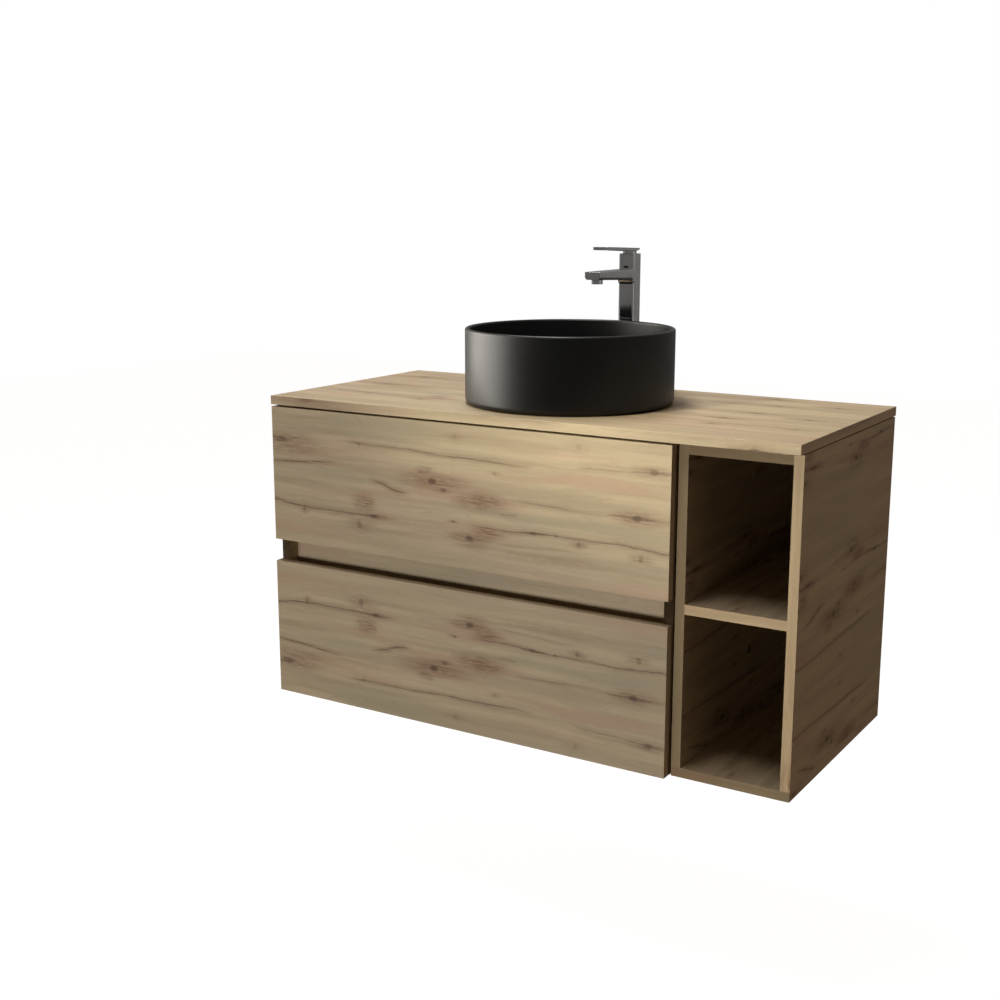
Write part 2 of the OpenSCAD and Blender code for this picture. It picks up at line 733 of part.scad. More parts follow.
// Washer under the worktop for the waste, and the ring under the mixer's foot
module rubber_seals() {
    color(rubber_black) {
        translate([0, basin_y, 0]) ring(flange_r, waste_r + 0.1, top_z0 - 4, top_z0);
        translate([0, mixer_y, 0]) ring(foot_r - 0.5, tap_hole_r + 0.5, top_z1, mix_z0);
    }
}
module cartridge() {
    color("ivory") translate([0, mixer_y, seat_z]) cylinder(r = bore_r - 0.2, h = cartridge_h);
}
module cartridge_nut() {
    color("goldenrod") translate([0, mixer_y, 0]) difference() {
        ring(bore_r - 0.1, carrier_r + 0.5, seat_z + cartridge_h, seat_z + cartridge_h + 5);
        for (a = [0:90:270]) rotate(a) translate([12.5, 0, seat_z + cartridge_h + 3])
            cylinder(r = 1, h = 5, $fn = 24);
    }
}
// Turns in the cartridge, and carries the pin that the lever tilts on
module cartridge_carrier() {
    color("ivory") translate([0, mixer_y, 0]) {
        translate([0, 0, seat_z + cartridge_h + 0.2]) cylinder(r = carrier_r, h = 3.8);
        for (x = [-cheek_x - cheek[0], cheek_x]) difference() {
            translate([x, -cheek[1] / 2, seat_z + cartridge_h + 3.9]) cube(cheek);
            translate([x - 1, 0, pivot_z]) rotate([0, 90, 0])
                cylinder(r = pin_r + 0.02, h = cheek[0] + 2, $fn = 24);
        }
    }
    color(zinc) translate([-cheek_x - cheek[0], mixer_y, pivot_z]) rotate([0, 90, 0])
        cylinder(r = pin_r, h = 2 * (cheek_x + cheek[0]), $fn = 24);
}
module lever_stem() {
    color(zinc) difference() {
        translate([-stem_w / 2, mixer_y - stem_w / 2, pivot_z - 5.5])
            cube([stem_w, stem_w, mix_z1 + 10.5 - pivot_z]);
        translate([-stem_w, mixer_y, pivot_z]) rotate([0, 90, 0])
            cylinder(r = pin_r + 0.07, h = 2 * stem_w, $fn = 24);
    }
}
// Slice of the lever's round neck between two Y limits, measured from the column's axis
module neck_half(r, y0, y1) {
    intersection() {
        translate([0, mixer_y, mix_z1 - 3]) cylinder(r = r, h = 8);
        translate([-20, mixer_y + y0, mix_z1 - 4]) cube([40, y1 - y0, 12]);
    }
}
// Flat lever that rises a little towards its tip, with a round neck that enters the column
module lever() {
    rear_low = mix_z1 + lever_gap;
    rise = 5;                               // towards the tip
    plate = 6;                              // thickness
    socket = stem_w + 0.2;
    module outline() {
        polygon([[mixer_y - 6, rear_low], [lever_y1, rear_low + 3], [lever_y1, rear_low + plate - 1],
                 [lever_y1 - 1, rear_low + plate], [lever_y0 + 1.5, rear_low + plate + rise],
                 [lever_y0, rear_low + plate + rise - 1.5], [lever_y0, rear_low + rise + 1.5],
                 [lever_y0 + 2, rear_low + rise]]);
    }
    color(chrome) difference() {
        union() {
            translate([-lever_w / 2, 0, 0]) rotate([90, 0, 90]) linear_extrude(lever_w) outline();
            // the rear half is narrower, so that it clears the chamber as the lever lifts
            neck_half(neck_r, -20, 0);
            neck_half(neck_rear_r, -1, 4);
        }
        translate([-socket / 2, mixer_y - socket / 2, mix_z1 - 5]) cube([socket, socket, 10.2]);
    }
}
module aerator() {
    color(zinc) translate([0, aerator_y, 0]) {
        difference() {
            translate([0, 0, spout_top - 22]) cylinder(r = aerator_r, h = 13.5);
            translate([0, 0, spout_top - 23]) cylinder(r = aerator_r - 2, h = 3);
        }
    }
}
module faucet_stud() {
    color(zinc) translate([0, stud_y, top_z0 - stud_below])
        cylinder(r = stud_r, h = mix_z0 + 19 - top_z0 + stud_below, $fn = 48);
}
// Horseshoe plate that clamps the mixer to the worktop from below
module faucet_clamp() {
    clamp_t = 3;
    mouth_r = 14;                           // the hoses pass through the mouth
    color(zinc) difference() {
        translate([0, mixer_y - 2, top_z0 - clamp_t]) cylinder(r = 22, h = clamp_t);
        hull() for (y = [inlet_y - 1, inlet_y + 40]) translate([0, y, top_z0 - clamp_t - 1])
            cylinder(r = mouth_r, h = clamp_t + 2, $fn = 32);
        translate([0, stud_y, top_z0 - clamp_t - 1]) cylinder(r = stud_r + 0.2, h = clamp_t + 2, $fn = 48);
    }
}
module faucet_nut() {
    color("goldenrod") translate([0, stud_y, top_z0 - 14]) difference() {
        cylinder(r = 7.5, h = 11, $fn = 6);
        translate([0, 0, -1]) cylinder(r = stud_r + 0.1, h = 13, $fn = 48);
    }
}

// ---------- output ----------

side_panel_left();
side_panel_right();
bottom_panel();
top_rail_front();
top_rail_back();
grip_rail();
open_side_left();
open_side_right();
open_top();
open_bottom();
open_shelf();
open_back();
countertop();
countertop_pads();
upper_front();
upper_box_side_left();
upper_box_side_right();
upper_box_subfront();
upper_box_backs();
upper_box_bottom();
siphon_guard();
lower_front();
lower_box_side_left();
lower_box_side_right();
lower_box_subfront();
lower_box_back();
lower_box_bottom();
runner_outer_members();
upper_runner_middle();
upper_runner_inner();
lower_runner_middle();
lower_runner_inner();
upper_front_screws();
lower_front_screws();
dowels();
unit_connectors();
hanger_bodies();
hanger_hooks();
wall_plates();
vessel_basin();
waste_body();
waste_locknut();
waste_plug();
trap_inlet_tube();
trap_nuts();
trap_body();
trap_cup();
trap_outlet_tube();
faucet_body();
rubber_seals();
cartridge();
cartridge_nut();
cartridge_carrier();
lever_stem();
lever();
aerator();
faucet_stud();
faucet_clamp();
faucet_nut();
index_plug();
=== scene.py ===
"""Looks of the wall-hung vanity with a vessel basin: materials, finished pieces, light and camera."""

import json
import math

import bmesh
import bpy
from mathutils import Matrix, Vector


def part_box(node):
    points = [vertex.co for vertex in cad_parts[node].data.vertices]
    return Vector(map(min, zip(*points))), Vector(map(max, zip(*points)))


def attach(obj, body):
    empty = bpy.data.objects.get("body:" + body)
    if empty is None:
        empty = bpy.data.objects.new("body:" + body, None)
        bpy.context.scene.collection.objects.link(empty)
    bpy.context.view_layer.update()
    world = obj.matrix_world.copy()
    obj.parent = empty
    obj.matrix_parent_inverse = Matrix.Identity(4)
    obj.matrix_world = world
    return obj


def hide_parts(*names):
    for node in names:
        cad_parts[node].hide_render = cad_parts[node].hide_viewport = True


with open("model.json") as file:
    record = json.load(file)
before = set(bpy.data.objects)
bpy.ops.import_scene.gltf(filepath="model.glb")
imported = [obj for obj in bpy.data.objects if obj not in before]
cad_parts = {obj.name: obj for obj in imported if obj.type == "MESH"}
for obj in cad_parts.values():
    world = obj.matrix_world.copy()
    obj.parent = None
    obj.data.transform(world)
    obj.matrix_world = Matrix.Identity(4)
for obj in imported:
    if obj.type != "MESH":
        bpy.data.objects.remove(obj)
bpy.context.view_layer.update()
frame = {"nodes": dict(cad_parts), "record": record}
nodes = frame["nodes"]

MM = 0.001
WHITE = (1.0, 1.0, 1.0)
BLACK = (0.0, 0.0, 0.0)


# ---------------------------------------------------------------- node graphs

class Graph:
    """Builds one node tree. A value is a number, or the output socket of an earlier node."""

    def __init__(self, tree):
        self.tree = tree

    def add(self, kind, **settings):
        """A new node with the given settings."""
        node = self.tree.nodes.new(kind)
        for name, value in settings.items():
            setattr(node, name, value)
        return node

    def feed(self, socket, value):
        """Links a socket to the input, or sets the input to a number or a colour."""
        if isinstance(value, bpy.types.NodeSocket):
            self.tree.links.new(value, socket)
        elif isinstance(value, (tuple, list)) and len(value) == 3 and socket.type == "RGBA":
            socket.default_value = (*value, 1.0)
        else:
            socket.default_value = value

    def math(self, operation, a, b=0.0):
        """One maths node on one or two values."""
        node = self.add("ShaderNodeMath", operation=operation)
        for socket, value in zip(node.inputs, (a, b)):
            self.feed(socket, value)
        return node.outputs[0]

    def sum(self, first, *rest):
        """All the values added up."""
        for value in rest:
            first = self.math("ADD", first, value)
        return first

    def mul(self, first, *rest):
        """All the values multiplied."""
        for value in rest:
            first = self.math("MULTIPLY", first, value)
        return first

    def sub(self, a, b):
        """a less b."""
        return self.math("SUBTRACT", a, b)

    def length(self, a, b):
        """Length of the vector (a, b)."""
        return self.math("SQRT", self.sum(self.mul(a, a), self.mul(b, b)))

    def remap(self, value, low, high, to_low=0.0, to_high=1.0):
        """Smooth step from low..high to to_low..to_high."""
        node = self.add("ShaderNodeMapRange", interpolation_type="SMOOTHSTEP")
        for socket, v in zip(node.inputs, (value, low, high, to_low, to_high)):
            self.feed(socket, v)
        return node.outputs[0]

    def xyz(self, x, y, z=0.0):
        """A vector from its three parts."""
        node = self.add("ShaderNodeCombineXYZ")
        for socket, value in zip(node.inputs, (x, y, z)):
            self.feed(socket, value)
        return node.outputs[0]

    def split(self, vector):
        """The three parts of a vector."""
        node = self.add("ShaderNodeSeparateXYZ")
        self.feed(node.inputs[0], vector)
        return node.outputs[0], node.outputs[1], node.outputs[2]

    def noise(self, vector, scale=1.0, detail=2.0, roughness=0.5):
        """Noise from 0 to 1, mostly near 0.5."""
        node = self.add("ShaderNodeTexNoise")
        self.feed(node.inputs["Vector"], vector)
        node.inputs["Scale"].default_value = scale
        node.inputs["Detail"].default_value = detail
        node.inputs["Roughness"].default_value = roughness
        return node.outputs["Fac"]

    def mix(self, factor, a, b):
        """Colour mix: a at factor 0, b at factor 1."""
        node = self.add("ShaderNodeMix", data_type="RGBA")
        self.feed(node.inputs[0], factor)
        self.feed(node.inputs[6], a)
        self.feed(node.inputs[7], b)
        return node.outputs[2]

    def curve(self, value, points):
        """Smooth curve through (x, y) points; x and y from 0 to 1."""
        node = self.add("ShaderNodeFloatCurve")
        node.inputs["Factor"].default_value = 1.0
        self.feed(node.inputs["Value"], value)
        line = node.mapping.curves[0]
        while len(line.points) < len(points):
            line.points.new(0.5, 0.5)
        for point, (x, y) in zip(line.points, points):
            point.location = (x, y)
            point.handle_type = "AUTO_CLAMPED"
        node.mapping.update()
        return node.outputs[0]

    def bump(self, height, distance, strength=1.0):
        """A normal bent by a height; distance is the height's size in metres."""
        node = self.add("ShaderNodeBump")
        node.inputs["Strength"].default_value = strength
        node.inputs["Distance"].default_value = distance
        self.feed(node.inputs["Height"], height)
        return node.outputs["Normal"]


def new_material(name):
    """A material with a Principled shader: returns the material, its graph and the shader node."""
    material = bpy.data.materials.new(name)
    material.use_nodes = True
    graph = Graph(material.node_tree)
    shader = next(n for n in material.node_tree.nodes if n.type == "BSDF_PRINCIPLED")
    return material, graph, shader


def object_point(graph):
    """Place on the object, in metres."""
    return graph.add("ShaderNodeTexCoord").outputs["Object"]


def object_normal(graph):
    """Direction the surface faces, in the object's axes."""
    return graph.add("ShaderNodeTexCoord").outputs["Normal"]


# ---------------------------------------------------------------- the rustic oak decor

# One print serves every board. Its own coordinates are in millimetres: U along the grain from the
# middle of the worktop, V across it from the print's lower edge. It is mirrored past its long edges,
# and its cracks fade out near its two ends.
DECOR_H = 271.0
DECOR_W = 1000.0
# Knots: U, V, half length, half height, how dark, how wide its brown shade
KNOTS = [
    (-147, 166, 9, 5.5, 1.0, 3.2), (240, 147, 8, 5.5, 0.95, 2.4), (-72, 76, 8, 5, 1.0, 2.2),
    (53, 100, 7, 3, 0.9, 1.6), (-273, 90, 9, 3.5, 0.9, 2.0), (-478, 209, 14, 6, 0.7, 2.6),
    (268, 223, 8, 5, 0.7, 2.4), (137, 92, 4, 5, 0.6, 1.8), (248, 83, 5, 6, 0.65, 1.9),
    (-428, 87, 3, 7, 0.5, 1.8), (-304, 71, 6, 7, 0.6, 1.9), (-303, 216, 5, 2.5, 0.6, 1.6),
    (-124, 153, 6, 4, 0.7, 2.2), (-22, 192, 4, 4, 0.35, 1.6), (95, 101, 4, 2.5, 0.6, 1.5),
    (-104, 101, 4, 2.5, 0.6, 1.5), (135, 251, 5, 5, 0.3, 1.8), (-100, 246, 5, 4, 0.3, 1.8),
    (383, 92, 7, 4, 0.8, 2.2), (367, 195, 8, 5, 0.9, 2.2),
]
# Brown clouds without a core: U, V, half length, half height, how dark
CLOUDS = [
    (-50, 142, 42, 13, 0.75), (-38, 90, 26, 9, 0.7), (-292, 112, 20, 14, 0.6),
    (-165, 180, 16, 8, 0.55), (-455, 196, 60, 10, 0.5), (250, 145, 26, 9, 0.4),
    (-300, 74, 26, 10, 0.35), (-62, 64, 30, 7, 0.4), (90, 60, 90, 8, 0.25), (200, 226, 50, 7, 0.2),
]
# Broad tints: U, V, half length, half height, pink (above 0) or olive (below 0)
ZONES = [
    (-330, 206, 200, 15, 0.9), (-400, 60, 170, 24, 0.7), (-330, 150, 130, 16, -0.8),
    (-250, 110, 120, 13, -0.8), (-130, 30, 260, 18, -0.6), (170, 40, 180, 22, 0.4),
    (200, 200, 140, 16, 0.3), (-40, 90, 110, 16, 0.7), (-40, 145, 120, 16, 0.8),
    (120, 125, 150, 10, -0.7), (60, 175, 190, 13, -0.6), (-330, 245, 200, 16, -0.5),
    (210, 250, 120, 14, -0.3), (-280, 100, 60, 22, 0.8), (220, 85, 110, 12, 0.5),
    (-480, 130, 60, 26, -0.4),
]
# Dark cracks: half height, then (U, V, how dark) along each
CRACKS = [
    (1.1, [(-500, 98, 0.9), (-450, 92, 0.9), (-400, 90, 0.8), (-340, 90, 0.8), (-262, 90, 0.7),
           (-240, 91, 0)]),
    (1.1, [(-500, 168, 0.4), (-450, 171, 0.9), (-400, 175, 0.9), (-350, 178, 0.3), (-310, 178, 0)]),
    (1.0, [(-360, 221, 0), (-300, 217, 0.6), (-200, 216, 0.7), (-120, 212, 0.8), (-45, 211, 0.8),
           (20, 209, 0.5), (60, 209, 0)]),
    (1.2, [(-500, 213, 0.8), (-465, 211, 0.7), (-430, 217, 0.3), (-380, 220, 0)]),
    (1.4, [(-285, 158, 0.1), (-250, 149, 0.8), (-225, 142, 1.0), (-205, 139, 0.4), (-190, 139, 0)]),
    (1.0, [(-110, 103, 0), (-60, 99, 0.5), (0, 97, 0.8), (50, 100, 1.0), (110, 101, 0.7),
           (160, 100, 0.8), (200, 102, 0.8), (250, 99, 0.9), (300, 96, 0.9), (360, 99, 0.8),
           (440, 98, 0.5)]),
    (1.4, [(-30, 152, 0), (50, 150, 0.4), (110, 147, 0.5), (170, 144, 0.3), (200, 148, 0.5),
           (240, 147, 0.6), (300, 148, 0.3), (360, 150, 0)]),
    (0.9, [(120, 215, 0), (160, 218, 0.5), (220, 219, 0.5), (270, 222, 0.6), (298, 220, 0.3),
           (340, 219, 0)]),
    (0.9, [(-60, 70, 0), (0, 73, 0.3), (50, 75, 0.3), (100, 78, 0.2), (160, 78, 0)]),
    (0.9, [(-30, 127, 0), (0, 125, 0.5), (25, 126, 0)]),
    (1.1, [(305, 194, 0), (330, 195, 0.7), (370, 196, 0.9), (440, 193, 0.5)]),
]
LIGHT_WOOD, DARK_WOOD = (0.560, 0.450, 0.296), (0.382, 0.298, 0.194)
PINK_WOOD, OLIVE_WOOD = (0.440, 0.290, 0.200), (0.366, 0.318, 0.212)
FIGURE_BROWN = (0.235, 0.165, 0.105)
FIBRE_BROWN = (0.26, 0.19, 0.12)
PORE_BROWN = (0.21, 0.15, 0.09)
SHADE_BROWN = (0.205, 0.118, 0.064)
CRACK_BROWN = (0.105, 0.060, 0.033)
KNOT_BROWN = (0.092, 0.052, 0.028)


def build_decor():
    """The print as a node group: U and V in millimetres, Seed, Features -> Color, Height, Roughness.

    Seed changes the grain, and Features is the strength of the knots, clouds, tints and cracks."""
    tree = bpy.data.node_groups.new("oak_decor", "ShaderNodeTree")
    for name in ("U", "V", "Seed", "Features"):
        tree.interface.new_socket(name, in_out="INPUT", socket_type="NodeSocketFloat")
    for name, kind in (("Color", "Color"), ("Height", "Float"), ("Roughness", "Float")):
        tree.interface.new_socket(name, in_out="OUTPUT", socket_type="NodeSocket" + kind)
    g = Graph(tree)
    given = g.add("NodeGroupInput").outputs
    u, v, seed, features = given["U"], given["V"], given["Seed"], given["Features"]

    def grain(across, u_scale, v_scale, detail, roughness=0.5, shift=0.0):
        """Noise drawn out along the grain; the scales are per millimetre, shift picks another one."""
        place = g.xyz(g.mul(u, u_scale), g.mul(across, v_scale), g.sum(seed, shift) if shift else seed)
        return g.noise(place, 1.0, detail, roughness)

    # gentle wander of the grain, in millimetres, and the patchiness of its marks
    slow = grain(v, 0.0022, 0.010, 2.0)
    quick = grain(v, 0.012, 0.045, 2.0)
    wander = g.sum(g.mul(g.sub(slow, 0.5), 26.0), g.mul(g.sub(quick, 0.5), 5.0))
    tremble = g.mul(g.sub(grain(v, 0.05, 0.05, 3.0), 0.5), 5.0)
    ragged = g.mul(g.sub(grain(v, 0.13, 0.30, 4.0, 0.65), 0.5), 2.0)
    mottle = g.remap(grain(v, 0.05, 0.20, 3.0, 0.6, shift=2.0), 0.34, 0.62)
    streak = g.remap(grain(v, 0.018, 0.40, 2.0, shift=9.0), 0.34, 0.64)

    # knots: cores, shade around them, and the grain that flows round them
    core, shade, pushed = 0.0, 0.0, v
    knot_u = g.sum(u, g.mul(ragged, 3.0))
    knot_v = g.sum(v, g.mul(tremble, 0.4), g.mul(ragged, 2.2))
    for centre_u, centre_v, half_u, half_v, dark, wide in KNOTS:
        du = g.mul(g.sub(knot_u, centre_u), 1.0 / half_u)
        dv = g.mul(g.sub(knot_v, centre_v), 1.0 / half_v)
        dist = g.length(du, dv)
        core = g.math("MAXIMUM", core, g.remap(dist, 1.25, 0.55, 0.0, dark))
        trail = g.math("SQRT", g.sum(g.mul(du, du, 0.10), g.mul(dv, dv, 0.9)))
        shade = g.math("MAXIMUM", shade, g.remap(trail, wide * 1.15, 0.2, 0.0, dark))
        near = g.remap(dist, 4.0, 0.4, 0.0, 0.65)
        pushed = g.sub(pushed, g.mul(near, g.sub(v, centre_v)))

    # clouds, in patches
    cloud_u = g.sum(u, g.mul(tremble, 6.0), g.mul(ragged, 9.0))
    cloud_v = g.sum(v, g.mul(tremble, 1.6), g.mul(ragged, 4.0))
    for centre_u, centre_v, half_u, half_v, dark in CLOUDS:
        du = g.mul(g.sub(cloud_u, centre_u), 1.0 / half_u)
        dv = g.mul(g.sub(cloud_v, centre_v), 1.0 / half_v)
        shade = g.math("MAXIMUM", shade, g.remap(g.length(du, dv), 1.9, 0.0, 0.0, 1.5 * dark))
    shade = g.mul(shade, g.sum(0.25, g.mul(mottle, 0.55), g.mul(streak, 0.55)))

    # broad tints
    tint = 0.0
    zone_u = g.sum(u, g.mul(tremble, 12.0))
    zone_v = g.sum(v, g.mul(wander, 0.5), g.mul(tremble, 1.5))
    for centre_u, centre_v, half_u, half_v, strength in ZONES:
        du = g.mul(g.sub(zone_u, centre_u), 1.0 / half_u)
        dv = g.mul(g.sub(zone_v, centre_v), 1.0 / half_v)
        tint = g.sum(tint, g.remap(g.length(du, dv), 1.4, 0.3, 0.0, strength))

    # cracks: a thin dark line inside a soft shade, both following a curve along the print
    crack = 0.0
    along = g.mul(g.sum(u, DECOR_W / 2), 1 / DECOR_W)
    inside = g.remap(g.math("ABSOLUTE", g.sum(u, 30.0)), 500.0, 470.0)
    crack_v = g.sum(v, g.mul(tremble, 0.6), g.mul(ragged, 0.8))
    for half, points in CRACKS:
        places = [(p[0] + DECOR_W / 2) / DECOR_W for p in points]
        height = g.mul(g.curve(along, [(x, p[1] / DECOR_H) for x, p in zip(places, points)]), DECOR_H)
        # where a crack starts at nothing, a point 1 mm before it keeps the curve flat up to there
        held = [(max(points[0][0] + DECOR_W / 2 - 1, 0) / DECOR_W, 0.0)] if points[0][2] == 0 else []
        dark = g.curve(along, held + [(x, p[2]) for x, p in zip(places, points)])
        off = g.math("ABSOLUTE", g.sub(crack_v, height))
        line = g.mul(g.remap(off, half * 2.1, 0.0), dark, inside, g.sum(0.60, g.mul(mottle, 0.55)))
        soft = g.mul(g.remap(off, half * 8.0, 0.0), dark, inside, g.sum(0.20, g.mul(streak, 0.60)))
        crack = g.math("MAXIMUM", crack, line)
        shade = g.math("MAXIMUM", shade, soft)
    core, shade, crack, tint = (g.mul(value, features) for value in (core, shade, crack, tint))

    # streaks of early and late wood, fibres and pores
    across = g.sum(pushed, wander)
    broad = grain(across, 0.0016, 0.034, 3.0, 0.6)
    middle = grain(across, 0.006, 0.11, 3.0, 0.55)
    fine = grain(across, 0.022, 0.75, 2.0, 0.6)
    fibre = grain(v, 0.07, 2.6, 1.0)
    pore = g.remap(grain(v, 0.09, 1.7, 1.0, shift=7.0), 0.60, 0.72)

    # long thin figure lines, broken up: level lines of a stretched noise
    figure = grain(across, 0.0019, 0.021, 2.0, shift=3.0)
    level_line = g.remap(g.math("PINGPONG", g.mul(figure, 9.0), 0.5), 0.07, 0.0)
    broken = g.remap(grain(across, 0.008, 0.05, 2.0, shift=5.0), 0.42, 0.62)
    level_line = g.mul(level_line, broken)

    # colour, from the ground of the wood to the knots that lie over everything
    tone = g.sum(g.mul(broad, 1.00), g.mul(middle, 0.45), g.mul(fine, 0.22), -0.335)
    drift = g.sub(grain(across, 0.0026, 0.020, 2.0, shift=11.0), 0.5)
    tint = g.sum(tint, g.mul(drift, 5.0))
    colour = g.mix(g.remap(tone, 0.20, 0.86), DARK_WOOD, LIGHT_WOOD)
    colour = g.mix(g.remap(tint, 0.10, 1.10, 0.0, 0.60), colour, PINK_WOOD)
    colour = g.mix(g.remap(tint, -0.10, -1.10, 0.0, 0.55), colour, OLIVE_WOOD)
    colour = g.mix(g.mul(level_line, 0.20), colour, FIGURE_BROWN)
    colour = g.mix(g.mul(g.remap(fibre, 0.35, 0.75), 0.11), colour, FIBRE_BROWN)
    colour = g.mix(g.mul(pore, 0.20), colour, PORE_BROWN)
    colour = g.mix(g.math("MINIMUM", g.mul(shade, 0.82), 0.85), colour, SHADE_BROWN)
    colour = g.mix(g.math("MINIMUM", g.mul(crack, 0.70), 0.80), colour, CRACK_BROWN)
    colour = g.mix(g.mul(core, 0.72), colour, KNOT_BROWN)
    relief = g.sum(g.mul(fibre, 0.35), g.mul(pore, -0.7), g.mul(crack, -1.0), g.mul(core, -0.5),
                   g.mul(fine, 0.3))
    roughness = g.sum(0.47, g.mul(pore, 0.12), g.mul(middle, 0.10))

    out = g.add("NodeGroupOutput")
    for name, value in (("Color", colour), ("Height", relief), ("Roughness", roughness)):
        g.feed(out.inputs[name], value)
    return tree


DECOR = build_decor()


def oak(name, faces, seed, features=1.0, shift=(0.0, 0.0), mirrored_at=None):
    """Oak laminate. faces names, for the faces square to x, y and z, the axis that the grain follows.

    shift moves the print along and across the grain, in millimetres. mirrored_at is the height in
    millimetres about which the print is mirrored."""
    material, g, shader = new_material(name)
    axes = dict(zip("xyz", g.split(object_point(g))))
    facing = dict(zip("xyz", g.split(object_normal(g))))
    along, across = 0.0, 0.0
    for face in "xyz":
        grain = faces[face]
        other = next(a for a in "zyx" if a not in (face, grain))
        here = g.math("GREATER_THAN", g.math("ABSOLUTE", facing[face]), 0.7)
        along = g.sum(along, g.mul(here, axes[grain], 1 / MM))
        across = g.sum(across, g.mul(here, axes[other], 1 / MM))
    along = g.sum(along, shift[0])
    across = g.sum(across, shift[1])
    if mirrored_at is not None:
        across = g.math("ABSOLUTE", g.sub(across, mirrored_at))
    across = g.math("PINGPONG", across, DECOR_H)
    decor = g.add("ShaderNodeGroup", node_tree=DECOR)
    for key, value in (("U", along), ("V", across), ("Seed", seed), ("Features", features)):
        g.feed(decor.inputs[key], value)
    g.feed(shader.inputs["Base Color"], decor.outputs["Color"])
    g.feed(shader.inputs["Roughness"], decor.outputs["Roughness"])
    g.feed(shader.inputs["Normal"], g.bump(decor.outputs["Height"], 0.12 * MM, 0.7))
    shader.inputs["Specular IOR Level"].default_value = 0.35
    return material


# The axis that the grain follows on faces square to x, y and z
LENGTHWISE = {"x": "z", "y": "x", "z": "x"}
UPRIGHT = {"x": "y", "y": "z", "z": "y"}
# Height, in millimetres, about which the print of the two drawer fronts is mirrored
FRONTS_MIRROR_Z = 271.0
OAK = {
    "front": oak("oak_front", LENGTHWISE, 0.0, mirrored_at=FRONTS_MIRROR_Z),
    "top": oak("oak_top", {"x": "y", "y": "x", "z": "x"}, 4.0, 0.75, (-60.0, 0.0), -195.0),
    "side": oak("oak_side", UPRIGHT, 8.0, 0.95, (-100.0, 0.0), 425.0),
    "shelf": oak("oak_shelf", {"x": "y", "y": "x", "z": "y"}, 12.0, 0.5, (120.0, 70.0)),
    "rail": oak("oak_rail", LENGTHWISE, 16.0, 0.5, (30.0, 0.0)),
    "inner": oak("oak_inner", {"x": "z", "y": "z", "z": "y"}, 20.0, 0.4, (60.0, 30.0)),
}


# ---------------------------------------------------------------- other materials

def speckled(name, colour, other, scale, roughness, spread=0.08, metallic=0.0, stretch=None):
    """A surface whose colour and gloss vary a little with a fine noise.

    other is the second colour, spread the range of the roughness, and stretch scales the noise
    along x, y and z."""
    material, g, shader = new_material(name)
    point = object_point(g)
    if stretch:
        point = g.xyz(*(g.mul(part, factor) for part, factor in zip(g.split(point), stretch)))
    fine = g.noise(point, scale, 3.0, 0.6)
    slow = g.noise(point, scale * 0.06, 2.0)
    blend = g.remap(g.sum(g.mul(fine, 0.6), g.mul(slow, 0.4)), 0.3, 0.7)
    g.feed(shader.inputs["Base Color"], g.mix(blend, colour, other))
    g.feed(shader.inputs["Roughness"], g.sum(roughness - spread / 2, g.mul(fine, spread)))
    g.feed(shader.inputs["Normal"], g.bump(fine, 0.02 * MM, 0.6))
    shader.inputs["Metallic"].default_value = metallic
    return material


def black_ceramic():
    """Matt black glaze: a fine pebbled skin with slightly glossier spots."""
    material, g, shader = new_material("black_glaze")
    point = object_point(g)
    pebble = g.noise(point, 900.0, 2.0, 0.55)
    slow = g.noise(point, 14.0, 3.0, 0.5)
    glaze = g.mix(g.remap(slow, 0.3, 0.7), (0.0016, 0.0015, 0.0014), (0.0030, 0.0028, 0.0026))
    g.feed(shader.inputs["Base Color"], glaze)
    g.feed(shader.inputs["Roughness"], g.sum(0.37, g.mul(slow, 0.06), g.mul(pebble, 0.05)))
    g.feed(shader.inputs["Normal"], g.bump(pebble, 0.02 * MM, 0.35))
    shader.inputs["Specular IOR Level"].default_value = 0.40
    return material


def chrome(name="polished_chrome", roughness=0.07):
    """Plated brass: a mirror with faint haze and wipe marks."""
    material, g, shader = new_material(name)
    point = object_point(g)
    haze = g.noise(point, 55.0, 3.0, 0.6)
    plating = g.mix(g.remap(haze, 0.3, 0.7), (0.53, 0.525, 0.52), (0.60, 0.60, 0.60))
    g.feed(shader.inputs["Base Color"], plating)
    g.feed(shader.inputs["Roughness"], g.sum(roughness, g.mul(haze, 0.05)))
    g.feed(shader.inputs["Normal"], g.bump(g.noise(point, 160.0, 2.0), 0.01 * MM, 0.25))
    shader.inputs["Metallic"].default_value = 1.0
    return material


